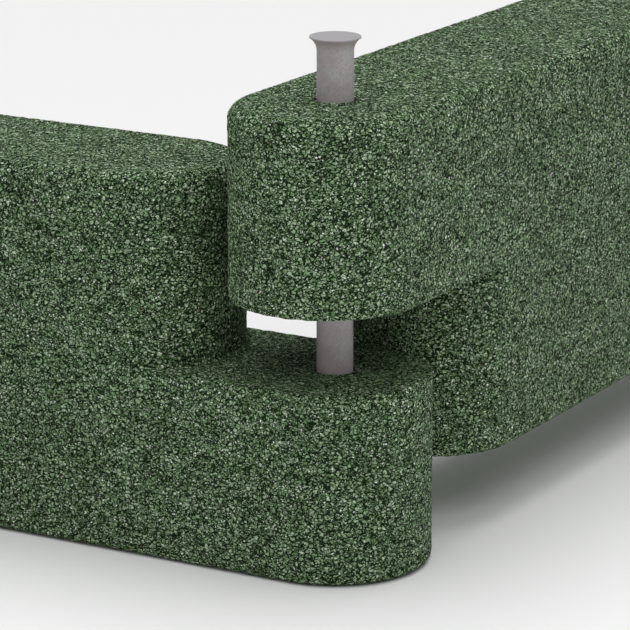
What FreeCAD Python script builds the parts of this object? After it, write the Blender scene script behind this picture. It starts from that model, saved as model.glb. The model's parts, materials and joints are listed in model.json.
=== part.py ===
"""Corner of two rubber-granulate edging blocks joined by a flare-headed pin.

Each block is a straight bar with a half-height tongue at both ends: the lower
half runs on at one end and the upper half at the other, so a row of blocks laps
tongue over tongue and one pin passes through each lap. A loose plastic sleeve
lines every bore. The right block is drawn lifted off its seat and the pin is
drawn part way out, which is how the corner looks while it is being assembled.

Row frame, millimetres: the pin axis is Z, Z = 0 is the ground under the left
block, the left block runs along -X and the right block along +Y.
"""
import FreeCAD, Part
import math
import os
import Sketcher

DRIVING_SIZES = [
    # alias, value, what it is
    ("block_length", 1000, "overall length of one block, tip to tip"),
    ("block_width", 150, "width of a block; every end is rounded to half of it"),
    ("block_height", 300, "height of a block"),
    ("lap_height", 150, "height of the lower half and so of each tongue"),
    ("upper_bore_to_tip", 87, "bore axis to the tip of the upper tongue"),
    ("end_gap", 3, "gap between a tongue's tip and the end it faces"),
    ("top_round", 12, "rounding of the top edges"),
    ("bottom_round", 7, "rounding of the bottom edges"),
    ("lap_round", 3, "rounding of the edges at the lap"),
    ("bore_diameter", 31, "bore for the connecting pin"),
    ("bore_floor", 12, "material left under the blind bore of the lower tongue"),
    ("sleeve_wall", 2, "wall of the sleeve that lines a bore"),
    ("sleeve_length", 126, "length of a sleeve"),
    ("sleeve_play", 0.3, "radial play of a sleeve in its pocket"),
    ("sleeve_axial_play", 0.5, "axial play of a sleeve in its pocket"),
    ("sleeve_chamfer", 0.6, "chamfer around the ends of a sleeve"),
    ("pin_diameter", 28, "shank of the connecting pin"),
    ("pin_length", 290, "overall length of the pin"),
    ("head_diameter", 39, "rim of the pin's flared head"),
    ("flare_height", 10, "height over which the shank flares out"),
    ("rim_thickness", 1.2, "straight rim on top of the flare"),
    ("pin_point", 3, "chamfer at the foot of the pin"),
    ("block_lift", 60, "height of the right block above its seat"),
    ("pin_raise", 48, "top of the pin's head above the right block's top"),
    ("cut_overshoot", 1, "how far a bore's cutter runs past an open face"),
]
LEVEL_TOLERANCE = 1e-4
RADIUS_TOLERANCE = 1e-6

doc = FreeCAD.newDocument("lapped_edging_corner")
sheet = doc.addObject("Spreadsheet::Sheet", "sizes")
for row, (alias, value, meaning) in enumerate(DRIVING_SIZES, start=1):
    sheet.set(f"A{row}", meaning)
    sheet.set(f"B{row}", str(value))
    sheet.setAlias(f"B{row}", alias)
doc.recompute()


def size(alias):
    """Value of one cell of the sheet."""
    return float(sheet.get(alias))


# Stations along a block, from the tip of its lower tongue, as sheet expressions.
END_RADIUS = "sizes.block_width / 2"
LOWER_BORE_AT = END_RADIUS
UPPER_BORE_AT = "(sizes.block_length - sizes.upper_bore_to_tip)"
UPPER_HALF_STARTS = "(sizes.block_width / 2 + sizes.upper_bore_to_tip + sizes.end_gap)"
LOWER_HALF_ENDS = f"({UPPER_BORE_AT} - sizes.block_width / 2 - sizes.end_gap)"

end_radius = size("block_width") / 2
lower_bore_at = end_radius
upper_bore_at = size("block_length") - size("upper_bore_to_tip")
upper_half_starts = end_radius + size("upper_bore_to_tip") + size("end_gap")
lower_half_ends = upper_bore_at - end_radius - size("end_gap")
bore_spacing = upper_bore_at - lower_bore_at


def origin_plane(body, role):
    """One of the body's own origin planes."""
    return next(f for f in body.Origin.OriginFeatures if f.Role == role)


def new_sketch(body, name, height_expression=None):
    """Empty sketch on the body's XY plane, raised to a height from the sheet."""
    sketch = body.newObject("Sketcher::SketchObject", name)
    sketch.AttachmentSupport = [(origin_plane(body, "XY_Plane"), "")]
    sketch.MapMode = "FlatFace"
    if height_expression:
        sketch.setExpression("AttachmentOffset.Base.z", height_expression)
    return sketch


def constrain(sketch, expression, *constraint):
    """Add a dimension and bind it to the sheet."""
    number = sketch.addConstraint(Sketcher.Constraint(*constraint))
    sketch.setExpression(f"Constraints[{number}]", expression)


def draw_bar_outline(sketch, start, end, start_expression, end_expression):
    """Bar outline with a full half-circle at both ends."""
    point = FreeCAD.Vector
    axis = point(0, 0, 1)
    first, last = start + end_radius, end - end_radius
    near_end = sketch.addGeometry(Part.ArcOfCircle(
        Part.Circle(point(first, 0, 0), axis, end_radius), math.pi / 2, 3 * math.pi / 2))
    far_end = sketch.addGeometry(Part.ArcOfCircle(
        Part.Circle(point(last, 0, 0), axis, end_radius), -math.pi / 2, math.pi / 2))
    left_side = sketch.addGeometry(Part.LineSegment(
        point(first, end_radius, 0), point(last, end_radius, 0)))
    right_side = sketch.addGeometry(Part.LineSegment(
        point(first, -end_radius, 0), point(last, -end_radius, 0)))
    for arc, arc_end, line, line_end in ((near_end, 1, left_side, 1), (near_end, 2, right_side, 1),
                                         (far_end, 2, left_side, 2), (far_end, 1, right_side, 2)):
        sketch.addConstraint(Sketcher.Constraint("Tangent", arc, arc_end, line, line_end))
    for arc in (near_end, far_end):
        sketch.addConstraint(Sketcher.Constraint("PointOnObject", arc, 3, -1))
    constrain(sketch, END_RADIUS, "Radius", near_end, end_radius)
    constrain(sketch, f"{start_expression} + {END_RADIUS}", "DistanceX", -1, 1, near_end, 3, first)
    constrain(sketch, f"{end_expression} - {END_RADIUS}", "DistanceX", -1, 1, far_end, 3, last)


def edges_at_height(shape, height):
    """Names of the edges that lie flat at one height."""
    names = []
    for number, edge in enumerate(shape.Edges, start=1):
        box = edge.BoundBox
        if max(abs(box.ZMin - height), abs(box.ZMax - height)) < LEVEL_TOLERANCE:
            names.append(f"Edge{number}")
    return names


def round_edges(body, name, base, height, radius_alias):
    """Fillet every edge of the base feature that lies at one height."""
    fillet = body.newObject("PartDesign::Fillet", name)
    fillet.Base = (base, edges_at_height(base.Shape, height))
    fillet.setExpression("Radius", f"sizes.{radius_alias}")
    doc.recompute()
    return fillet


def bar(name, start, end, start_expression, end_expression, foot_expression, tall_expression):
    """Upright bar with rounded ends, from one station to another."""
    body = doc.addObject("PartDesign::Body", name)
    sketch = new_sketch(body, f"{name}_outline", foot_expression)
    draw_bar_outline(sketch, start, end, start_expression, end_expression)
    pad = body.newObject("PartDesign::Pad", f"{name}_pad")
    pad.Profile = sketch
    pad.setExpression("Length", tall_expression)
    doc.recompute()
    return body, pad


def cylinder(name, radius_expression, height_expression, along_expression, foot_expression):
    """Upright cylinder at a station of the block."""
    post = doc.addObject("Part::Cylinder", name)
    post.setExpression("Radius", radius_expression)
    post.setExpression("Height", height_expression)
    post.setExpression("Placement.Base.x", along_expression)
    post.setExpression("Placement.Base.z", foot_expression)
    return post


def make_block(label, placement):
    """One edging block: two lapped halves, a core that joins them, two lined bores."""
    lap, top = size("lap_height"), size("block_height")

    lower, lower_pad = bar(f"{label}_lower_half", 0, lower_half_ends, "0", LOWER_HALF_ENDS,
                           None, "sizes.lap_height")
    rounded = round_edges(lower, f"{label}_foot_rounding", lower_pad, 0, "bottom_round")
    round_edges(lower, f"{label}_lower_tongue_rounding", rounded, lap, "lap_round")

    upper, upper_pad = bar(f"{label}_upper_half", upper_half_starts, size("block_length"),
                           UPPER_HALF_STARTS, "sizes.block_length",
                           "sizes.lap_height", "sizes.block_height - sizes.lap_height")
    rounded = round_edges(upper, f"{label}_crown_rounding", upper_pad, top, "top_round")
    round_edges(upper, f"{label}_upper_tongue_rounding", rounded, lap, "lap_round")

    core, _ = bar(f"{label}_core", upper_half_starts, lower_half_ends,
                  UPPER_HALF_STARTS, LOWER_HALF_ENDS, "sizes.lap_height / 2", "sizes.lap_height")

    solid = doc.addObject("Part::MultiFuse", f"{label}_solid")
    solid.Shapes = [lower, upper, core]
    solid.Refine = True

    bore_radius = "sizes.bore_diameter / 2"
    pocket_radius = f"{bore_radius} + sizes.sleeve_wall + sizes.sleeve_play"
    pocket_height = "sizes.sleeve_length + sizes.sleeve_axial_play"
    bores = doc.addObject("Part::MultiFuse", f"{label}_bores")
    bores.Shapes = [
        cylinder(f"{label}_lower_bore", bore_radius,
                 "sizes.lap_height - sizes.bore_floor + sizes.cut_overshoot",
                 LOWER_BORE_AT, "sizes.bore_floor"),
        cylinder(f"{label}_lower_pocket", pocket_radius, pocket_height,
                 LOWER_BORE_AT, "sizes.bore_floor"),
        cylinder(f"{label}_upper_bore", bore_radius,
                 "sizes.block_height - sizes.lap_height + 2 * sizes.cut_overshoot",
                 UPPER_BORE_AT, "sizes.lap_height - sizes.cut_overshoot"),
        cylinder(f"{label}_upper_pocket", pocket_radius, pocket_height,
                 UPPER_BORE_AT, "sizes.lap_height + sizes.bore_floor"),
    ]

    block = doc.addObject("Part::Cut", label)
    block.Base = solid
    block.Tool = bores
    doc.recompute()
    block.Placement = placement
    return block


def make_sleeve(label, placement):
    """Plain plastic tube that lines one bore."""
    body = doc.addObject("PartDesign::Body", label)
    sketch = new_sketch(body, f"{label}_ring")
    centre = FreeCAD.Vector(0, 0, 0)
    axis = FreeCAD.Vector(0, 0, 1)
    inner_radius = size("bore_diameter") / 2
    outer_radius = inner_radius + size("sleeve_wall")
    for radius, expression in ((inner_radius, "sizes.bore_diameter / 2"),
                               (outer_radius, "sizes.bore_diameter / 2 + sizes.sleeve_wall")):
        circle = sketch.addGeometry(Part.Circle(centre, axis, radius))
        sketch.addConstraint(Sketcher.Constraint("Coincident", circle, 3, -1, 1))
        constrain(sketch, expression, "Radius", circle, radius)
    tube = body.newObject("PartDesign::Pad", f"{label}_tube")
    tube.Profile = sketch
    tube.setExpression("Length", "sizes.sleeve_length")
    doc.recompute()
    mouths = [f"Edge{number}" for number, edge in enumerate(tube.Shape.Edges, start=1)
              if isinstance(edge.Curve, Part.Circle)
              and abs(edge.Curve.Radius - outer_radius) < RADIUS_TOLERANCE]
    chamfer = body.newObject("PartDesign::Chamfer", f"{label}_outer_chamfer")
    chamfer.Base = (tube, mouths)
    chamfer.setExpression("Size", "sizes.sleeve_chamfer")
    body.Placement = placement
    doc.recompute()
    return body


def make_pin(label, placement):
    """Turned pin: chamfered foot, plain shank, trumpet flare, thin rim and flat top."""
    point = FreeCAD.Vector
    shank, rim = size("pin_diameter") / 2, size("head_diameter") / 2
    length, foot = size("pin_length"), size("pin_point")
    rim_foot = length - size("rim_thickness")
    flare_foot = rim_foot - size("flare_height")
    spread = rim - shank
    sweep_radius = (size("flare_height") ** 2 + spread ** 2) / (2 * spread)
    sweep_angle = math.asin(size("flare_height") / sweep_radius)

    body = doc.addObject("PartDesign::Body", label)
    sketch = body.newObject("Sketcher::SketchObject", f"{label}_profile")
    sketch.AttachmentSupport = [(origin_plane(body, "XZ_Plane"), "")]
    sketch.MapMode = "FlatFace"

    def line(start, end):
        return sketch.addGeometry(Part.LineSegment(point(*start, 0), point(*end, 0)))

    centre_line = line((0, length), (0, 0))
    foot_face = line((0, 0), (shank - foot, 0))
    foot_chamfer = line((shank - foot, 0), (shank, foot))
    shank_side = line((shank, foot), (shank, flare_foot))
    flare_circle = Part.Circle(point(shank + sweep_radius, flare_foot, 0),
                               point(0, 0, 1), sweep_radius)
    flare = sketch.addGeometry(Part.ArcOfCircle(flare_circle, math.pi - sweep_angle, math.pi))
    rim_side = line((rim, rim_foot), (rim, length))
    top_face = line((rim, length), (0, length))

    def join(first, first_end, second, second_end):
        sketch.addConstraint(
            Sketcher.Constraint("Coincident", first, first_end, second, second_end))

    sketch.addConstraint(Sketcher.Constraint("Coincident", centre_line, 2, -1, 1))
    join(centre_line, 2, foot_face, 1)
    join(foot_face, 2, foot_chamfer, 1)
    join(foot_chamfer, 2, shank_side, 1)
    sketch.addConstraint(Sketcher.Constraint("Tangent", shank_side, 2, flare, 2))
    join(flare, 1, rim_side, 1)
    join(rim_side, 2, top_face, 1)
    join(top_face, 2, centre_line, 1)
    for upright in (centre_line, shank_side, rim_side):
        sketch.addConstraint(Sketcher.Constraint("Vertical", upright))
    for level in (foot_face, top_face):
        sketch.addConstraint(Sketcher.Constraint("Horizontal", level))
    constrain(sketch, "sizes.pin_length", "DistanceY", -1, 1, centre_line, 1, length)
    constrain(sketch, "sizes.pin_diameter / 2 - sizes.pin_point",
              "DistanceX", -1, 1, foot_face, 2, shank - foot)
    constrain(sketch, "sizes.pin_diameter / 2", "DistanceX", -1, 1, shank_side, 1, shank)
    constrain(sketch, "sizes.pin_point", "DistanceY", -1, 1, shank_side, 1, foot)
    constrain(sketch, "sizes.head_diameter / 2", "DistanceX", -1, 1, rim_side, 1, rim)
    constrain(sketch, "sizes.pin_length - sizes.rim_thickness",
              "DistanceY", -1, 1, rim_side, 1, rim_foot)
    constrain(sketch, "sizes.pin_length - sizes.rim_thickness - sizes.flare_height",
              "DistanceY", -1, 1, shank_side, 2, flare_foot)

    turned = body.newObject("PartDesign::Revolution", f"{label}_turned")
    turned.Profile = sketch
    turned.ReferenceAxis = (sketch, ["V_Axis"])
    turned.Angle = 360
    body.Placement = placement
    doc.recompute()
    return body


def upright_at(x, y, z, turn=0):
    """Placement at a point, turned about the vertical."""
    return FreeCAD.Placement(FreeCAD.Vector(x, y, z),
                             FreeCAD.Rotation(FreeCAD.Vector(0, 0, 1), turn))


lift = size("block_lift")
lower_sleeve_foot = size("bore_floor") + size("sleeve_axial_play") / 2
upper_sleeve_foot = size("lap_height") + lower_sleeve_foot
pin_foot = size("block_height") + lift + size("pin_raise") - size("pin_length")

nodes = [
    make_block("left_block", upright_at(lower_bore_at, 0, 0, 180)),
    make_block("right_block", upright_at(0, upper_bore_at, lift, -90)),
    make_sleeve("left_lower_sleeve", upright_at(0, 0, lower_sleeve_foot)),
    make_sleeve("left_upper_sleeve", upright_at(-bore_spacing, 0, upper_sleeve_foot)),
    make_sleeve("right_upper_sleeve", upright_at(0, 0, upper_sleeve_foot + lift)),
    make_sleeve("right_lower_sleeve", upright_at(0, bore_spacing, lower_sleeve_foot + lift)),
    make_pin("connecting_pin", upright_at(0, 0, pin_foot)),
]
doc.recompute()

for item in doc.Objects:
    if "Invalid" in item.State or "Error" in item.State:
        raise RuntimeError(f"{item.Name} failed: {item.State}")
for node in nodes:
    if node.Shape.isNull() or not node.Shape.isValid() or len(node.Shape.Solids) != 1:
        raise RuntimeError(f"{node.Label} has no single valid solid")

os.makedirs("parts", exist_ok=True)
for node in nodes:
    node.Shape.exportStep(os.path.join("parts", f"{node.Label}.step"))
    box = node.Shape.BoundBox
    print(f"{node.Label}: {node.Shape.Volume / 1000:.1f} cm3, "
          f"X {box.XMin:.1f} to {box.XMax:.1f}, Y {box.YMin:.1f} to {box.YMax:.1f}, "
          f"Z {box.ZMin:.1f} to {box.ZMax:.1f}")
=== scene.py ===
# %% [markdown]
# # A corner of two rubber-granulate edging blocks
#
# The real object is two moulded bars of green rubber granulate, bonded with a
# clear binder. Each bar has a half-height tongue at both ends. At the corner
# one tongue lies over the other and a grey pin with a flared head drops
# through both. We dress the fixed CAD frame: its places and sizes are never
# changed, only its surfaces get finer.

# %% Load the fixed frame
import json
import math

import bmesh
import bpy
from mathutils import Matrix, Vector


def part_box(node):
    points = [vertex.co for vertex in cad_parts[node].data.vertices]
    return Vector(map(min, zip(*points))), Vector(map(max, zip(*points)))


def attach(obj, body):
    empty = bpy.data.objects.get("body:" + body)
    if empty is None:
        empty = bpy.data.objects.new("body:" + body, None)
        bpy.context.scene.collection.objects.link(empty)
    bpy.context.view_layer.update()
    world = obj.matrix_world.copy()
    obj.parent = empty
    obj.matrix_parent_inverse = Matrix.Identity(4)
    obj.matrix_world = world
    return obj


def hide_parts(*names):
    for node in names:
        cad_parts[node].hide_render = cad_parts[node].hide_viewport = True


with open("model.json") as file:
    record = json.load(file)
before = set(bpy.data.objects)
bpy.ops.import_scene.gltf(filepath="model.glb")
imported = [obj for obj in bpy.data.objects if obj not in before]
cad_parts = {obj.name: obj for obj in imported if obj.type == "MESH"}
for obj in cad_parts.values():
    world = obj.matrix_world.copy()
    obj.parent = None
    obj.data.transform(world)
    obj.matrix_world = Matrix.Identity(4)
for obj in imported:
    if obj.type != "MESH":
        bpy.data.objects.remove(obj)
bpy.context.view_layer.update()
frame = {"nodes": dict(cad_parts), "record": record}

MILLIMETRE = 0.001
# Blender's noise seldom leaves this range.
NOISE_RANGE = (0.3, 0.7)
print("nodes:", sorted(frame["nodes"]))

# %% [markdown]
# ## Camera
#
# A long lens from a little above shows both blocks with almost no perspective,
# so the upright sides stay upright. The camera stands in front of the joint,
# to its right, and looks down at it. Working from an angle, a distance and an
# aim point is easier to adjust than a raw position.

# %% Camera
LENS_MM = 214.0
CAMERA_TURN = math.radians(29.775)
CAMERA_DROP = math.radians(15.085)
CAMERA_DISTANCE = 2.842
AIM = Vector((-0.0135, -0.0069, 0.1927))

view_direction = Vector((-math.sin(CAMERA_TURN) * math.cos(CAMERA_DROP),
                         math.cos(CAMERA_TURN) * math.cos(CAMERA_DROP),
                         -math.sin(CAMERA_DROP)))
camera_data = bpy.data.cameras.new("camera")
camera_data.lens = LENS_MM
camera = bpy.data.objects.new("camera", camera_data)
bpy.context.scene.collection.objects.link(camera)
camera.location = AIM - view_direction * CAMERA_DISTANCE
camera.rotation_mode = "QUATERNION"
camera.rotation_quaternion = view_direction.to_track_quat("-Z", "Y")
bpy.context.scene.camera = camera
print("camera at", [round(v, 3) for v in camera.location])

# %% [markdown]
# ## Shader maths
#
# A procedural finish is a long sum of noises and masks. Wired by hand, every
# plus and times is four lines, and the idea is lost. One small class wraps an
# output socket and turns Python's operators into Math nodes, so that a finish
# reads as a formula. Every other node comes from a single method.

# %% A socket that can be added and multiplied
class Wire:
    """One output socket of a node tree, usable in arithmetic."""

    def __init__(self, tree, socket):
        self.tree = tree
        self.socket = socket

    def maths(self, operation, first, second=None):
        """One Math node in this wire's tree."""
        return self.tree.node("ShaderNodeMath", settings={"operation": operation},
                              slots={0: first, 1: second})

    def __add__(self, other):
        return self.maths("ADD", self, other)

    def __sub__(self, other):
        return self.maths("SUBTRACT", self, other)

    def __rsub__(self, other):
        return self.maths("SUBTRACT", other, self)

    def __mul__(self, other):
        return self.maths("MULTIPLY", self, other)

    def __rtruediv__(self, other):
        return self.maths("DIVIDE", other, self)

    def __pow__(self, other):
        return self.maths("POWER", self, other)

    def __abs__(self):
        return self.maths("ABSOLUTE", self)

    def __lt__(self, other):
        return self.maths("LESS_THAN", self, other)

    __rmul__ = __mul__


abilities = [name.strip("_") for name, value in vars(Wire).items() if callable(value)]
print("a wire can:", ", ".join(abilities))

# %% A tree that nodes are added to
class Tree:
    """A node tree and the method that adds nodes to it."""

    def __init__(self, tree):
        self.tree = tree

    def plug(self, socket, value):
        """Feed an input socket from a wire, or set it to a plain value."""
        if isinstance(value, Wire):
            self.tree.links.new(value.socket, socket)
        elif value is not None:
            socket.default_value = value

    def node(self, kind, output=0, settings=None, slots=None, **values):
        """Add a node and return the wire from one output, or from each of several.

        settings are the node's own options, slots its sockets by number, and
        values its sockets by name.
        """
        node = self.tree.nodes.new(kind)
        for key, value in (settings or {}).items():
            if key == "stops":
                self.set_stops(node.color_ramp, value)
            else:
                setattr(node, key, value)
        for number, value in (slots or {}).items():
            self.plug(node.inputs[number], value)
        for key, value in values.items():
            self.plug(node.inputs[key.replace("_", " ")], value)
        if isinstance(output, tuple):
            return [Wire(self, node.outputs[name]) for name in output]
        return Wire(self, node.outputs[output])

    @staticmethod
    def set_stops(colour_ramp, stops):
        """Give a colour ramp its (position, colour) stops."""
        while len(colour_ramp.elements) < len(stops):
            colour_ramp.elements.new(0.5)
        for element, (position, colour) in zip(colour_ramp.elements, stops):
            element.position = position
            element.color = (*colour, 1.0)

    def rescale(self, value, low, high, to_low=0.0, to_high=1.0):
        """Map low..high onto to_low..to_high, clamped."""
        return self.node("ShaderNodeMapRange", Value=value, From_Min=low, From_Max=high,
                         To_Min=to_low, To_Max=to_high)

    def vector(self, operation, first, second=None, output=0, scale=None):
        """Vector maths on two vectors, or a vector and a scale."""
        return self.node("ShaderNodeVectorMath", output=output, settings={"operation": operation},
                         slots={0: first, 1: second, 3: scale})

    def mix(self, factor, first, second):
        """Mix two colours."""
        first, second = ((*colour, 1.0) if isinstance(colour, tuple) else colour
                         for colour in (first, second))
        return self.node("ShaderNodeMix", output=2, settings={"data_type": "RGBA"},
                         slots={0: factor, 6: first, 7: second})


print("tree methods:", ", ".join(name for name in vars(Tree) if not name.startswith("_")))

# %% A finish: one material with its tree
class Finish(Tree):
    """A material with one Principled shader."""

    def __init__(self, name):
        self.material = bpy.data.materials.new(name)
        self.material.use_nodes = True
        super().__init__(self.material.node_tree)
        self.shader = self.tree.nodes["Principled BSDF"]

    def surface(self, **values):
        """Feed the Principled shader's sockets by name."""
        for key, value in values.items():
            self.plug(self.shader.inputs[key.replace("_", " ")], value)


print("a finish adds:", ", ".join(name for name in vars(Finish) if not name.startswith("_")))

# %% [markdown]
# ## Granulate
#
# The blocks are chips of shredded rubber, two to five millimetres across,
# pressed together. Each chip is a slightly domed, tilted facet with its own
# green, and a few chips are reddish from the recycled mix. The gaps between
# chips sink in the bump and are painted near black, which is painted shade in
# the crevices. Tiny near-white specks are painted highlights, glints on the
# chips. A Voronoi texture splits space into cells, which is what packed chips
# are, and because it is three-dimensional the pattern runs round edges with no
# seam. Bending its coordinates with noise takes away the look of a honeycomb.
# Two sizes of cell are mixed, so that some places are fine. The mix is pressed
# down in its mould, so every chip is a little wider than tall.

# %% Granulate sizes and colours
CHIP_SIZE = 3.6 * MILLIMETRE
CRUMB_SIZE = 2.1 * MILLIMETRE
GLINT_SIZE = 1.15 * MILLIMETRE
CHIP_RELIEF = 1.0 * MILLIMETRE
MOTTLE_RELIEF = 0.35 * MILLIMETRE
BEND_REACH = 1.6 * MILLIMETRE
PRESSED_FLAT = 1.25
BEND_SCALE = 700.0
PACKING_SCALE = 330.0
PATCH_SCALE = 240.0
MOTTLE_SCALE = 980.0
GRIME_SCALE = 30.0
# Gaps and domes are measured in cells, from a cell's edge inwards.
NARROW_GAP = 0.05
WIDE_GAP = 0.22
GAP_SOFTNESS = 0.025
DOME_REACH = 0.30
DOME_POWER = 0.6
FACET_TILT = 1.6
# A chip's place on the ramp of greens: shares of its own tone and of the mottle, less a shift.
TONE_SHARE = 0.56
MOTTLE_SHARE = 0.51
TONE_SHIFT = 0.03
GAP_SHADE_COVER = 0.96
GRIME_SHADE = (0.88, 1.12)
CHIP_ROUGHNESS = (0.55, 0.90)
DRY_SPECULAR = 0.06
# The stretch of each noise that is put to use.
PACKING_RANGE = (0.35, 0.75)
PATCH_EDGE = (0.52, 0.54)
MOTTLE_RANGE = (0.28, 0.72)
GRIME_RANGE = (0.25, 0.75)
# Every chip has random numbers from 0 to 1. Past the red limits a chip turns reddish; past the
# glint limits a tiny cell gets a painted highlight.
RED_LIMITS = (0.0022, 0.0012)
GLINT_LIMITS = (0.955, 0.968)
CHIP_GREENS = [
    (0.00, (0.016, 0.048, 0.010)),
    (0.30, (0.130, 0.222, 0.098)),
    (0.60, (0.290, 0.437, 0.236)),
    (0.80, (0.465, 0.622, 0.398)),
    (1.00, (0.780, 0.900, 0.710)),
]
# Painted shade: the near black that fills the gaps between chips.
GAP_SHADE_COLOUR = (0.003, 0.015, 0.001)
# Painted highlight: the near white of the glints.
GLINT_HIGHLIGHT = (0.95, 1.00, 0.90)
RED_CHIP = (0.150, 0.085, 0.055)
HALF = (0.5, 0.5, 0.5)
print("chips", round(CHIP_SIZE / MILLIMETRE, 1), "mm and", round(CRUMB_SIZE / MILLIMETRE, 1), "mm")

# %% Granulate finish
def chip_layer(finish, place, size, gap_width):
    """One packing of chips: random colour, gaps (sunk, and painted dark as shade), a domed, tilted
    height.
    """
    random_colour, centre = finish.node("ShaderNodeTexVoronoi", output=("Color", "Position"),
                                        Vector=place, Scale=1.0 / size)
    edge = finish.node("ShaderNodeTexVoronoi", output="Distance",
                       settings={"feature": "DISTANCE_TO_EDGE"}, Vector=place, Scale=1.0 / size)
    gap = finish.rescale(edge - gap_width, -GAP_SOFTNESS, GAP_SOFTNESS, 1.0, 0.0)
    dome = finish.rescale(edge, 0.0, DOME_REACH) ** DOME_POWER
    tilt = finish.vector("SUBTRACT", random_colour, HALF)
    offset = finish.vector("SUBTRACT", place, centre)
    facet = finish.vector("DOT_PRODUCT", offset, tilt, output="Value")
    height = dome * (CHIP_RELIEF * size / CHIP_SIZE) + facet * FACET_TILT
    return random_colour, gap, height


def make_granulate():
    """Green rubber chips bonded with clear binder."""
    finish = Finish("green_granulate")
    place = finish.node("ShaderNodeTexCoord", output="Object")
    place = finish.vector("MULTIPLY", place, (1.0, 1.0, PRESSED_FLAT))
    bend = finish.node("ShaderNodeTexNoise", output="Color", Vector=place, Scale=BEND_SCALE,
                       Detail=0.0)
    bend = finish.vector("SUBTRACT", bend, HALF)
    bend = finish.vector("SCALE", bend, scale=BEND_REACH)
    bent = finish.vector("ADD", place, bend)

    packing = finish.node("ShaderNodeTexNoise", output="Fac", Vector=place, Scale=PACKING_SCALE,
                          Detail=2.0)
    gap_width = finish.rescale(packing, *PACKING_RANGE, NARROW_GAP, WIDE_GAP)
    colour_a, gap_a, height_a = chip_layer(finish, bent, CHIP_SIZE, gap_width)
    colour_b, gap_b, height_b = chip_layer(finish, bent, CRUMB_SIZE, gap_width)
    patches = finish.node("ShaderNodeTexNoise", output="Fac", Vector=place, Scale=PATCH_SCALE,
                          Detail=1.0)
    fine = finish.rescale(patches, *PATCH_EDGE)

    def chosen(coarse, small):
        """Take the coarse packing, or the small one in the fine patches."""
        return coarse * (1.0 - fine) + small * fine

    tone_a = finish.node("ShaderNodeSeparateColor", output="Red", Color=colour_a)
    tone_b = finish.node("ShaderNodeSeparateColor", output="Red", Color=colour_b)
    rarity = finish.node("ShaderNodeSeparateColor", output="Green", Color=colour_b)
    gap = chosen(gap_a, gap_b)
    glint_cells = finish.node("ShaderNodeTexVoronoi", output="Color", Vector=bent,
                              Scale=1.0 / GLINT_SIZE)
    glint_rarity = finish.node("ShaderNodeSeparateColor", output="Green", Color=glint_cells)
    grime = finish.node("ShaderNodeTexNoise", output="Fac", Vector=place, Scale=GRIME_SCALE,
                        Detail=3.0)

    mottle = finish.node("ShaderNodeTexNoise", output="Fac", Vector=place, Scale=MOTTLE_SCALE,
                         Detail=1.0)
    mottle = finish.rescale(mottle, *MOTTLE_RANGE)
    on_ramp = chosen(tone_a, tone_b) * TONE_SHARE + mottle * MOTTLE_SHARE - TONE_SHIFT
    colour = finish.node("ShaderNodeValToRGB", output="Color", settings={"stops": CHIP_GREENS},
                         Fac=on_ramp)
    colour = finish.mix(finish.rescale(rarity, *RED_LIMITS), colour, RED_CHIP)
    # Painted highlight: rare tiny cells turn near white, as glints.
    colour = finish.mix(finish.rescale(glint_rarity, *GLINT_LIMITS), colour, GLINT_HIGHLIGHT)
    # Painted shade: the gaps between chips are filled with near black.
    colour = finish.mix(gap * GAP_SHADE_COVER, colour, GAP_SHADE_COLOUR)
    shade = finish.rescale(grime, *GRIME_RANGE, *GRIME_SHADE)
    colour = finish.vector("SCALE", colour, scale=shade)

    height = chosen(height_a, height_b) - gap * CHIP_RELIEF + mottle * MOTTLE_RELIEF
    bump = finish.node("ShaderNodeBump", output="Normal", Height=height, Strength=1.0, Distance=1.0)
    roughness = finish.rescale(tone_b, 0.0, 1.0, *CHIP_ROUGHNESS)
    finish.surface(Base_Color=colour, Roughness=roughness, Normal=bump,
                   Specular_IOR_Level=DRY_SPECULAR)
    return finish.material


granulate = make_granulate()
print("granulate nodes:", len(granulate.node_tree.nodes))

# %% [markdown]
# ## Pin and sleeve finishes
#
# The pin is dull grey metal that has been pushed through rough bores many
# times, so it carries fine slanting scratches and a faint brownish bloom. Its
# flat crown, slightly dished, carries no bloom and is painted a darker grey
# than the shank: painted shade that holds back the overhead lamp on the top.
# The sleeves are plain dark tube.

# %% Pin finish
DISH_DEPTH = 0.35 * MILLIMETRE
# Scratches run round the pin as they climb: twist in radians a metre, then how fine they are
# across and along.
BRUSHED = (-62.0, 1300.0, 200.0)
SCRATCHED = (75.0, 420.0, 40.0)
SCRATCH_WIDTH = 0.006
GRAIN_SCALE = 1500.0
BLOOM_SCALE = 38.0
# How fully one colour covers another, and the stretch of each noise that is put to use.
BLOOM_COVER = 0.7
CROWN_SHADE_COVER = 0.75
SCRATCH_COVER = 0.7
GREY_RANGE = (0.40, 0.60)
BLOOM_RANGE = (0.44, 0.66)
WORN_RANGE = (0.40, 0.46)
PIN_ROUGHNESS = (0.48, 0.66)
PIN_METALLIC = (0.20, 0.05)
PIN_RELIEF = 0.25 * MILLIMETRE
DARK_GREY = (0.335, 0.312, 0.317)
LIGHT_GREY = (0.488, 0.464, 0.470)
BLOOM_BROWN = (0.345, 0.272, 0.272)
CROWN_SHADE_GREY = (0.328, 0.324, 0.340)
BRIGHT_SCRATCH = (0.72, 0.70, 0.70)


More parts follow.
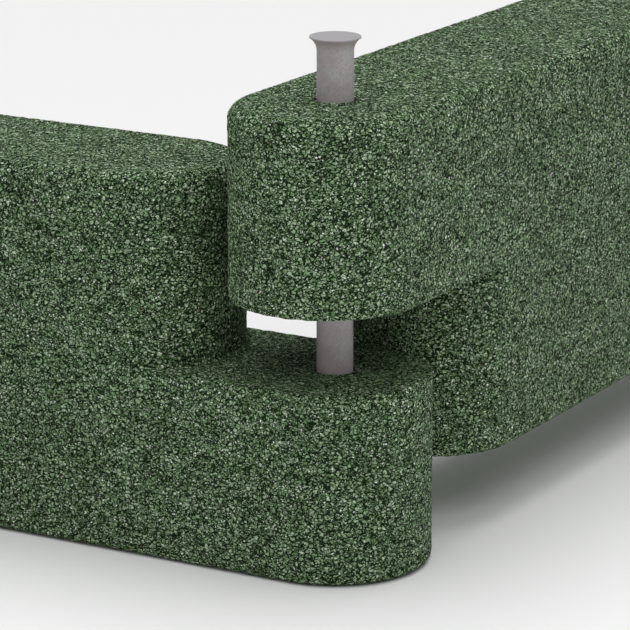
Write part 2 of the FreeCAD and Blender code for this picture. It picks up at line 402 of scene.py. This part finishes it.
def make_pin_metal(pin_top):
    """Dull grey metal with fine slanting scratches, and a crown painted darker as shade up to its
    top.
    """
    finish = Finish("pin_metal")
    place = finish.node("ShaderNodeTexCoord", output="Object")
    height = finish.node("ShaderNodeSeparateXYZ", output="Z", Vector=place)

    def slanted(twist, fine, along):
        """Noise drawn out into slanting lines."""
        turned = finish.node("ShaderNodeVectorRotate", settings={"rotation_type": "Z_AXIS"},
                             Vector=place, Angle=height * twist)
        stretched = finish.vector("MULTIPLY", turned, (fine, fine, along))
        return finish.node("ShaderNodeTexNoise", output="Fac", Vector=stretched, Scale=1.0,
                           Detail=3.0)

    brushed = slanted(*BRUSHED)
    crossed = slanted(*SCRATCHED)
    grain = finish.node("ShaderNodeTexNoise", output="Fac", Vector=place, Scale=GRAIN_SCALE,
                        Detail=2.0)
    bloom = finish.node("ShaderNodeTexNoise", output="Fac", Vector=place, Scale=BLOOM_SCALE,
                        Detail=3.0)
    grey = finish.rescale(brushed * 0.35 + grain * 0.65, *GREY_RANGE)
    base = finish.mix(grey, DARK_GREY, LIGHT_GREY)
    crown = finish.rescale(height, pin_top - 2.0 * DISH_DEPTH, pin_top - DISH_DEPTH)
    bloomed = finish.rescale(bloom, *BLOOM_RANGE) * BLOOM_COVER * (1.0 - crown)
    base = finish.mix(bloomed, base, BLOOM_BROWN)
    # Painted shade: the crown gets a darker grey than the shank.
    base = finish.mix(crown * CROWN_SHADE_COVER, base, CROWN_SHADE_GREY)
    thin_line = finish.rescale(abs(crossed - 0.5), 0.0, SCRATCH_WIDTH, 1.0, 0.0)
    worn = finish.rescale(bloom, *WORN_RANGE, 1.0, 0.0)
    colour = finish.mix(thin_line * worn * SCRATCH_COVER, base, BRIGHT_SCRATCH)
    relief = brushed * 0.5 + grain * 0.5 - thin_line * worn * 0.5
    bump = finish.node("ShaderNodeBump", output="Normal", Height=relief,
                       Strength=0.35, Distance=PIN_RELIEF)
    finish.surface(Base_Color=colour, Normal=bump,
                   Roughness=finish.rescale(bloom, *NOISE_RANGE, *PIN_ROUGHNESS),
                   Metallic=finish.rescale(bloom, *NOISE_RANGE, *PIN_METALLIC))
    return finish.material


pin_metal = make_pin_metal(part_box("connecting_pin")[1][2])
print("pin metal nodes:", len(pin_metal.node_tree.nodes))

# %% Sleeve finish
DRAWN_LINES = (1500.0, 1500.0, 12.0)
TUBE_BLACK = (0.030, 0.030, 0.034)
TUBE_GREY = (0.052, 0.052, 0.056)
TUBE_ROUGHNESS = (0.40, 0.55)
TUBE_RELIEF = 0.2 * MILLIMETRE


def make_sleeve_plastic():
    """Dark extruded tube."""
    finish = Finish("sleeve_plastic")
    place = finish.node("ShaderNodeTexCoord", output="Object")
    drawn = finish.node("ShaderNodeMapping", Vector=place, Scale=DRAWN_LINES)
    lines = finish.node("ShaderNodeTexNoise", output="Fac", Vector=drawn, Scale=1.0, Detail=2.0)
    colour = finish.mix(lines, TUBE_BLACK, TUBE_GREY)
    bump = finish.node("ShaderNodeBump", output="Normal", Height=lines,
                       Strength=0.2, Distance=TUBE_RELIEF)
    finish.surface(Base_Color=colour, Normal=bump,
                   Roughness=finish.rescale(lines, *NOISE_RANGE, *TUBE_ROUGHNESS))
    return finish.material


sleeve_plastic = make_sleeve_plastic()
print("sleeve plastic nodes:", len(sleeve_plastic.node_tree.nodes))

# %% [markdown]
# ## Building with nodes
#
# Geometry Nodes do the repeated work below. A tree is a recipe: geometry comes
# in at the left, sizes come in as named inputs, and the result leaves at the
# right. These helpers build a tree, run it on a mesh and bake the result to a
# plain mesh, so that nothing is left live on the finished piece.

# %% Geometry Nodes helpers
MERGE_DISTANCE = 0.001 * MILLIMETRE


class Recipe(Tree):
    """A Geometry Nodes tree with named inputs."""

    def __init__(self, name, **inputs):
        super().__init__(bpy.data.node_groups.new(name, "GeometryNodeTree"))
        self.tree.interface.new_socket("Geometry", in_out="INPUT", socket_type="NodeSocketGeometry")
        self.tree.interface.new_socket("Geometry", in_out="OUTPUT",
                                       socket_type="NodeSocketGeometry")
        self.values = inputs
        kinds = {int: "NodeSocketInt", float: "NodeSocketFloat", Vector: "NodeSocketVector",
                 bpy.types.Object: "NodeSocketObject", bpy.types.Material: "NodeSocketMaterial"}
        for label, value in inputs.items():
            kind = next(kinds[base] for base in kinds if isinstance(value, base))
            self.tree.interface.new_socket(label, in_out="INPUT", socket_type=kind)

    def given(self, label):
        """Wire from a named input."""
        return self.node("NodeGroupInput", output=label)

    def from_axis(self, axis_point):
        """Level offset from an upright axis, and how long it is."""
        place = self.node("GeometryNodeInputPosition")
        flat = self.vector("MULTIPLY", self.vector("SUBTRACT", place, axis_point), (1.0, 1.0, 0.0))
        return flat, self.vector("LENGTH", flat, output="Value")

    def close(self, geometry):
        """End the tree: flat facets, real geometry, one material."""
        flat = self.node("GeometryNodeSetShadeSmooth", Geometry=geometry, Shade_Smooth=False)
        whole = self.node("GeometryNodeRealizeInstances", Geometry=flat)
        dressed = self.node("GeometryNodeSetMaterial", Geometry=whole,
                            Material=self.given("Material"))
        end = self.tree.nodes.new("NodeGroupOutput")
        self.plug(end.inputs["Geometry"], dressed)

    def run(self, name, mesh, result, before=None):
        """Run the recipe on a mesh and return a plain object with the outcome.

        before may add modifiers that go ahead of the recipe.
        """
        self.close(result)
        bench = bpy.data.objects.new(name, mesh)
        bpy.context.scene.collection.objects.link(bench)
        if before:
            before(bench)
        step = bench.modifiers.new("recipe", "NODES")
        step.node_group = self.tree
        for item in self.tree.interface.items_tree:
            if item.in_out == "INPUT" and item.name in self.values:
                step[item.identifier] = self.values[item.name]
        ready = bench.evaluated_get(bpy.context.evaluated_depsgraph_get())
        baked = bpy.data.meshes.new_from_object(ready)
        bench.modifiers.clear()
        bench.data = baked
        baked.name = name
        return bench


def merged_copy(node_name):
    """Copy of a CAD node's mesh with its loose triangles joined up."""
    work = bmesh.new()
    work.from_mesh(frame["nodes"][node_name].data)
    bmesh.ops.remove_doubles(work, verts=work.verts, dist=MERGE_DISTANCE)
    mesh = bpy.data.meshes.new(node_name + "_merged")
    work.to_mesh(mesh)
    work.free()
    return mesh


print("a recipe adds:", ", ".join(name for name in vars(Recipe) if not name.startswith("_")))

# %% [markdown]
# ## The blocks' skin
#
# A moulded granulate block is not a flat plane with a picture of chips on it:
# its whole surface is broken into facets, and its edges are crumbly. Sculpting
# that by hand is hopeless, and a displacement texture alone would swell the
# block past its size. Here the CAD shape is remeshed into an even grid about
# one chip wide, each grid point slides a little along the surface so that the
# grid can't be seen, and then sinks by its own depth. Points only sink, never
# rise, so the block keeps its true size. The bores stay smooth.

# %% Skin recipe
GRID = 3.3 * MILLIMETRE
CHIP_SLIDE = 2.6 * MILLIMETRE
CHIP_SINK = 0.75 * MILLIMETRE
SLIDE_SCALE = 330.0
SINK_SCALE = 420.0
SINK_SEED_STEP = 7.0
JOINT_AXIS = (0.0, 0.0, 0.0)
# The grid would round a bore's rim off, so points within the reach are put back on it. Sinking
# starts beyond the keep and is full past the fade.
MOUTH_REACH = 1.7 * MILLIMETRE
BORE_KEEP = 1.5 * MILLIMETRE
BORE_FADE = 4.0 * MILLIMETRE


def far_bore(body):
    """Place and radius of a block's far bore, from the packed record, in metres."""
    mount = next(m for m in frame["record"]["mounts"] if m["name"] == f"{body}_far_bore")
    return Vector(mount["pos_m"]), mount["dims"]["r_mm"] * MILLIMETRE


def even_grid(bench):
    """Remesh into squares about one chip wide."""
    remesh = bench.modifiers.new("grid", "REMESH")
    remesh.mode = "VOXEL"
    remesh.voxel_size = GRID


def beside_bores(recipe):
    """How far a point lies outside the nearer of a block's two bores."""
    joint, far = (recipe.from_axis(point)[1] for point in (JOINT_AXIS, recipe.given("Far axis")))
    return joint.maths("MINIMUM", joint, far) - recipe.given("Bore radius")


def make_skin(name, node_name, far_axis, bore_radius, seed):
    """Granulate skin over one CAD block, with crisp bores at the joint and at the far axis."""
    target = bpy.data.objects.new(name + "_target", merged_copy(node_name))
    bpy.context.scene.collection.objects.link(target)
    low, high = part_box(node_name)
    recipe = Recipe("granulate_skin", **{
        "Surface": target, "Material": granulate, "Seed": float(seed), "Far axis": far_axis,
        "Bore radius": bore_radius, "Foot": low[2], "Lap": (high[2] - low[2]) / 2.0,
        "Slide": CHIP_SLIDE, "Sink": CHIP_SINK})

    place = recipe.node("GeometryNodeInputPosition")
    wander = recipe.node("ShaderNodeTexNoise", output="Color", settings={"noise_dimensions": "4D"},
                         Vector=place, W=recipe.given("Seed"), Scale=SLIDE_SCALE, Detail=0.0)
    wander = recipe.vector("SUBTRACT", wander, HALF)
    slid = recipe.vector("ADD", place, recipe.vector("SCALE", wander, scale=recipe.given("Slide")))
    surface = recipe.node("GeometryNodeObjectInfo", output="Geometry",
                          Object=recipe.given("Surface"))
    landed = recipe.node("GeometryNodeProximity", output="Position",
                         settings={"target_element": "FACES"},
                         Geometry=surface, Sample_Position=slid)
    grid = recipe.node("GeometryNodeSetPosition", Geometry=recipe.given("Geometry"),
                       Position=landed)

    def crisp_mouth(geometry, axis_point):
        """Pull the points around a bore onto its circle, and those by a mouth onto its face."""
        flat, away = recipe.from_axis(axis_point)
        near = away < recipe.given("Bore radius") + MOUTH_REACH
        pull = (recipe.given("Bore radius") - away) * (1.0 / away)
        height = recipe.node("ShaderNodeSeparateXYZ", output="Z", Vector=place)
        half_lap = 0.5 * recipe.given("Lap")
        level = height.maths("SNAP", height - recipe.given("Foot") + half_lap,
                             recipe.given("Lap"))
        rise = level + recipe.given("Foot") - height
        by_mouth = abs(rise) < MOUTH_REACH
        upward = recipe.node("ShaderNodeCombineXYZ", Z=rise * by_mouth)
        shift = recipe.vector("ADD", recipe.vector("SCALE", flat, scale=pull), upward)
        return recipe.node("GeometryNodeSetPosition", Geometry=geometry, Selection=near,
                           Offset=shift)

    for axis_point in (JOINT_AXIS, recipe.given("Far axis")):
        grid = crisp_mouth(grid, axis_point)
    open_mask = recipe.rescale(beside_bores(recipe), BORE_KEEP, BORE_KEEP + BORE_FADE)
    depth = recipe.node("ShaderNodeTexNoise", output="Fac", settings={"noise_dimensions": "4D"},
                        Vector=place, W=recipe.given("Seed") + SINK_SEED_STEP,
                        Scale=SINK_SCALE, Detail=0.0)
    depth = recipe.rescale(depth, *NOISE_RANGE) * open_mask * recipe.given("Sink") * -1.0
    outward = recipe.node("GeometryNodeInputNormal")
    sunk = recipe.node("GeometryNodeSetPosition", Geometry=grid,
                       Offset=recipe.vector("SCALE", outward, scale=depth))
    skin = recipe.run(name, merged_copy(node_name), sunk, before=even_grid)
    bpy.data.objects.remove(target)
    print(name, len(skin.data.polygons), "squares")
    return skin


# %% Skins for both blocks
skins = {}
for body, seed in (("left", 1), ("right", 2)):
    skin = make_skin(f"{body}_granulate_skin", f"{body}_block", *far_bore(body), seed)
    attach(skin, body)
    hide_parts(f"{body}_block")
    skins[body] = skin

# %% [markdown]
# ## Pale chips
#
# Here and there a pale chip shows: a bit of lighter rubber, whose pale green
# is lifted towards white as a painted highlight. They are real chips, so they
# get real geometry. Points are scattered over the skin with a fixed seed, each
# point gets a small flattened ball with few faces, lying almost flat in the
# surface, turned and sized at random, and set in so that its crown stands less
# than a quarter of a millimetre proud and clears the other block when that one
# is seated.

# %% Pale chip finish and recipe
PALE_PER_SQUARE_METRE = 3000.0
PALE_RADIUS = 0.95 * MILLIMETRE
PALE_SET_IN = 0.22 * MILLIMETRE
PALE_TILT = math.radians(6.0)
PALE_SMALLEST = (0.55, 0.45, 0.32)
PALE_LARGEST = (1.70, 1.05, 0.40)
PALE_OFF_BORES = 4.0 * MILLIMETRE
PALE_RELIEF = 0.3 * MILLIMETRE
PALE_ROUGHNESS = (0.35, 0.6)
PALE_MOTTLE_SCALE = 700.0
PALE_MOTTLE_RANGE = (0.35, 0.65)
LEAN_SEED_STEP = 3.0
DULL_GREEN = (0.50, 0.56, 0.45)
HIGHLIGHT_GREEN = (0.84, 0.88, 0.79)


def make_pale_rubber():
    """Pale grey-green chip with a slightly mottled face, lifted towards white as a painted
    highlight.
    """
    finish = Finish("pale_chip_rubber")
    place = finish.node("ShaderNodeTexCoord", output="Object")
    mottle = finish.node("ShaderNodeTexNoise", output="Fac", Vector=place,
                         Scale=PALE_MOTTLE_SCALE, Detail=2.0)
    # Painted highlight: the mottle runs up to a near-white green.
    colour = finish.mix(finish.rescale(mottle, *PALE_MOTTLE_RANGE), DULL_GREEN, HIGHLIGHT_GREEN)
    bump = finish.node("ShaderNodeBump", output="Normal", Height=mottle, Strength=0.6,
                       Distance=PALE_RELIEF)
    finish.surface(Base_Color=colour, Normal=bump,
                   Roughness=finish.rescale(mottle, *NOISE_RANGE, *PALE_ROUGHNESS))
    return finish.material


def scatter_chips(name, skin, material, far_axis, bore_radius, seed):
    """Small flattened chips set into a skin, but not in its bores or around their mouths."""
    recipe = Recipe("pale_chips", **{
        "Material": material, "Seed": seed, "Density": PALE_PER_SQUARE_METRE,
        "Radius": PALE_RADIUS, "Set in": PALE_SET_IN, "Far axis": far_axis,
        "Bore radius": bore_radius})
    crowded = beside_bores(recipe) < PALE_OFF_BORES
    points, outward, facing = recipe.node(
        "GeometryNodeDistributePointsOnFaces", output=("Points", "Normal", "Rotation"),
        Mesh=recipe.given("Geometry"), Selection=1.0 - crowded, Density=recipe.given("Density"),
        Seed=recipe.given("Seed"))
    inward = recipe.vector("SCALE", outward, scale=recipe.given("Set in") * -1.0)
    points = recipe.node("GeometryNodeSetPosition", Geometry=points, Offset=inward)
    ball = recipe.node("GeometryNodeMeshIcoSphere", Radius=recipe.given("Radius"), Subdivisions=1)
    size = recipe.node("FunctionNodeRandomValue", settings={"data_type": "FLOAT_VECTOR"},
                       slots={0: PALE_SMALLEST, 1: PALE_LARGEST}, Seed=recipe.given("Seed"))
    lean = recipe.node("FunctionNodeRandomValue", settings={"data_type": "FLOAT_VECTOR"},
                       slots={0: (-PALE_TILT, -PALE_TILT, 0.0),
                              1: (PALE_TILT, PALE_TILT, math.tau)},
                       Seed=recipe.given("Seed") + LEAN_SEED_STEP)
    lean = recipe.node("FunctionNodeEulerToRotation", Euler=lean)
    turned = recipe.node("FunctionNodeRotateRotation", settings={"rotation_space": "LOCAL"},
                         Rotation=facing, Rotate_By=lean)
    chips = recipe.node("GeometryNodeInstanceOnPoints", Points=points, Instance=ball,
                        Rotation=turned, Scale=size)
    chips = recipe.run(name, skin.data.copy(), chips)
    print(name, len(chips.data.polygons), "faces")
    return chips


# %% Pale chips on both blocks
pale_rubber = make_pale_rubber()
for body, seed in (("left", 11), ("right", 12)):
    chips = scatter_chips(f"{body}_pale_chips", skins[body], pale_rubber, *far_bore(body), seed)
    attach(chips, body)

# %% [markdown]
# ## The pin
#
# The pin is turned from bar: a plain shank, a trumpet flare and a thin rim. A
# turned part is a profile spun about its axis, so only half an outline is
# drawn, with small roundings where a real tool leaves them, and it is spun in
# one loop. Its length and rim radius come from the CAD pin's own box; the
# shank radius and the rest are given below.

# %% Pin profile
SPIN_STEPS = 96
SHANK_RINGS = 40
FLARE_STEPS = 16
ROUND_STEPS = 5
FLARE_HEIGHT = 10.0 * MILLIMETRE
SHANK_RADIUS = 14.0 * MILLIMETRE
RIM_THICKNESS = 1.2 * MILLIMETRE
FOOT_CHAMFER = 3.0 * MILLIMETRE
EDGE_ROUND = 0.5 * MILLIMETRE
# The crown's shallow dish: share of the rim's radius, share of the depth.
DISH = ((0.86, 0.4), (0.6, 0.8), (0.3, 1.0))


def arc_points(centre, radius, start, end, steps):
    """Points of an arc in the profile's plane, angles in degrees."""
    return [(centre[0] + radius * math.cos(math.radians(start + (end - start) * i / steps)),
             centre[1] + radius * math.sin(math.radians(start + (end - start) * i / steps)))
            for i in range(steps + 1)]


def pin_profile(foot, top, rim):
    """Half outline of the pin, from the middle of its foot to the middle of its top."""
    spread = rim - SHANK_RADIUS
    sweep = (FLARE_HEIGHT ** 2 + spread ** 2) / (2.0 * spread)
    sweep_angle = math.degrees(math.asin(FLARE_HEIGHT / sweep))
    flare_foot = top - RIM_THICKNESS - FLARE_HEIGHT
    shank_foot = foot + FOOT_CHAMFER
    ring_gap = (flare_foot - shank_foot) / SHANK_RINGS
    outline = [(SHANK_RADIUS - FOOT_CHAMFER, foot), (SHANK_RADIUS, shank_foot)]
    outline += [(SHANK_RADIUS, shank_foot + ring_gap * i) for i in range(1, SHANK_RINGS)]
    outline += arc_points((SHANK_RADIUS + sweep, flare_foot), sweep, 180.0, 180.0 - sweep_angle,
                          FLARE_STEPS)
    outline += arc_points((rim - EDGE_ROUND, top - EDGE_ROUND), EDGE_ROUND, 0.0, 90.0, ROUND_STEPS)
    outline += [(rim * share, top - DISH_DEPTH * depth) for share, depth in DISH]
    return outline


pin_low, pin_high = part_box("connecting_pin")
outline = pin_profile(pin_low[2], pin_high[2], pin_high[0])
print("profile points:", len(outline))

# %% Turned pin
def spin(name, outline, foot, top):
    """Spin a half outline about Z into a closed mesh."""
    work = bmesh.new()
    rings = []
    for radius, height in outline:
        rings.append([work.verts.new((radius * math.cos(math.tau * i / SPIN_STEPS),
                                      radius * math.sin(math.tau * i / SPIN_STEPS), height))
                      for i in range(SPIN_STEPS)])
    for lower, upper in zip(rings, rings[1:]):
        for i in range(SPIN_STEPS):
            j = (i + 1) % SPIN_STEPS
            work.faces.new((lower[i], lower[j], upper[j], upper[i]))
    for ring, height, up in ((rings[0], foot, False), (rings[-1], top, True)):
        middle = work.verts.new((0.0, 0.0, height))
        for i in range(SPIN_STEPS):
            pair = (ring[i], ring[(i + 1) % SPIN_STEPS])
            work.faces.new((*pair, middle) if up else (*reversed(pair), middle))
    for face in work.faces:
        face.smooth = True
    mesh = bpy.data.meshes.new(name)
    work.to_mesh(mesh)
    work.free()
    piece = bpy.data.objects.new(name, mesh)
    bpy.context.scene.collection.objects.link(piece)
    return piece


pin = spin("turned_pin", outline, pin_low[2], pin_high[2] - DISH_DEPTH)
pin.data.materials.append(pin_metal)
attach(pin, "pin")
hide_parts("connecting_pin")
print("pin:", len(pin.data.polygons), "faces")

# %% Dress the sleeves
def dress(node_name, material):
    """Give a CAD node a finish without touching its mesh."""
    mesh = frame["nodes"][node_name].data
    mesh.materials.clear()
    mesh.materials.append(material)


for node_name in frame["nodes"]:
    if node_name.endswith("sleeve"):
        dress(node_name, sleeve_plastic)
print("sleeves dressed")

# %% [markdown]
# ## Floor and light
#
# A product picture is lit by something large, so that shadows melt away. One
# wide, distant lamp hangs behind and above the joint, a weaker soft box stands
# in front, and the room itself glows, more overhead than at the horizon, which
# keeps the space between the blocks dark. A thin pale band just above the
# horizon stands in for the backdrop behind the floor.

# %% Floor
FLOOR_HALF = 30.0
FLOOR_DROP = 0.5 * MILLIMETRE
FLOOR_GREY = (0.86, 0.86, 0.86, 1.0)


def make_floor():
    """Pale floor that fills the view."""
    mesh = bpy.data.meshes.new("floor")
    half = FLOOR_HALF
    mesh.from_pydata([(-half, -half, 0), (half, -half, 0), (half, half, 0), (-half, half, 0)], [],
                     [(0, 1, 2, 3)])
    floor = bpy.data.objects.new("floor", mesh)
    bpy.context.scene.collection.objects.link(floor)
    finish = Finish("pale_floor")
    finish.surface(Base_Color=FLOOR_GREY, Roughness=0.9, Specular_IOR_Level=0.1)
    mesh.materials.append(finish.material)
    floor.location.z = -FLOOR_DROP


make_floor()
print("floor", 2.0 * FLOOR_HALF, "m wide")

# %% Light
BACKDROP_TOP = 0.06
BACKDROP_FADE = 0.03


def hang_lamp(data, turn, height, distance):
    """Hang a lamp facing the joint, turned about the vertical and raised above level in degrees."""
    turn, height = math.radians(turn), math.radians(height)
    towards = Vector((math.cos(turn) * math.cos(height), math.sin(turn) * math.cos(height),
                      math.sin(height)))
    lamp = bpy.data.objects.new(data.name, data)
    bpy.context.scene.collection.objects.link(lamp)
    lamp.location = towards * distance
    lamp.rotation_mode = "QUATERNION"
    lamp.rotation_quaternion = (-towards).to_track_quat("-Z", "Y")
    lamp.visible_camera = False


def make_room(low, high, backdrop):
    """Light that grows from low at the horizon to high overhead, above a thin pale backdrop."""
    world = bpy.data.worlds.new("room")
    world.use_nodes = True
    room = Tree(world.node_tree)
    place = room.node("ShaderNodeTexCoord", output="Generated")
    upward = room.node("ShaderNodeSeparateXYZ", output="Z", Vector=place)
    sky = upward.maths("MAXIMUM", upward, 0.0) * (high - low) + low
    band = room.rescale(upward, BACKDROP_TOP, BACKDROP_TOP + BACKDROP_FADE, 1.0, 0.0)
    shader = world.node_tree.nodes["Background"]
    room.plug(shader.inputs["Strength"], sky * (1.0 - band) + band * backdrop)
    shader.inputs["Color"].default_value = (1.0, 1.0, 1.0, 1.0)
    bpy.context.scene.world = world


def make_overhead(spread, strength):
    """Distant lamp, spread in degrees across so that its shadows are soft."""
    data = bpy.data.lights.new("overhead", "SUN")
    data.angle = math.radians(spread)
    data.energy = strength
    return data


def make_softbox(side, power):
    """Square lamp, its side in metres and its power in watts."""
    data = bpy.data.lights.new("front_softbox", "AREA")
    data.size = side
    data.energy = power
    return data


make_room(low=0.22, high=0.78, backdrop=0.88)
hang_lamp(make_overhead(spread=50.0, strength=1.37), turn=120.0, height=78.0, distance=5.0)
hang_lamp(make_softbox(side=1.0, power=9.0), turn=-45.0, height=48.0, distance=2.4)
bpy.context.scene.view_settings.view_transform = "Standard"
print("lamps:", ", ".join(sorted(lamp.name for lamp in bpy.data.lights)))
